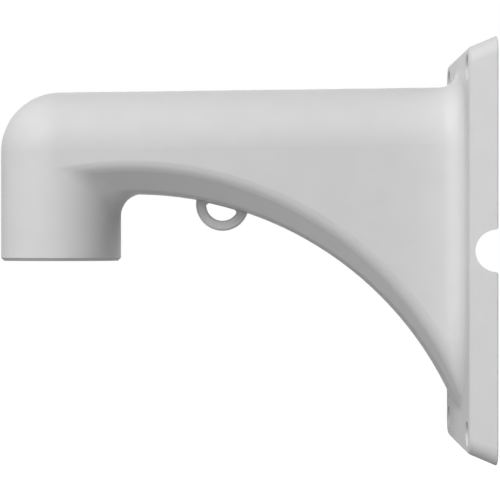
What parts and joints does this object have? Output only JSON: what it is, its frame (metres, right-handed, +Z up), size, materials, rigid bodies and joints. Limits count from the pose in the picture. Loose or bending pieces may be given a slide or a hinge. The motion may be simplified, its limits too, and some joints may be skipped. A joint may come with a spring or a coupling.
{
  "type": "camera wall bracket",
  "caption": "Hollow cast arm with a down-facing threaded collar at its tip, on a bolted rectangular wall plate with a side cable notch and a safety eye.",
  "frame": {"origin": "centre of the wall plate's back face, on the wall plane", "axes": "+X out of the plate's back into the wall, so the arm reaches towards -X; +Z up; the side with the cable notch faces -Y"},
  "size_m": [0.2406, 0.1198, 0.203],
  "materials": {
    "painted_metal": "satin powder coat"
  },
  "bodies": {
    "root": {"bracket_casting": "painted_metal"}
  },
  "joints": []
}
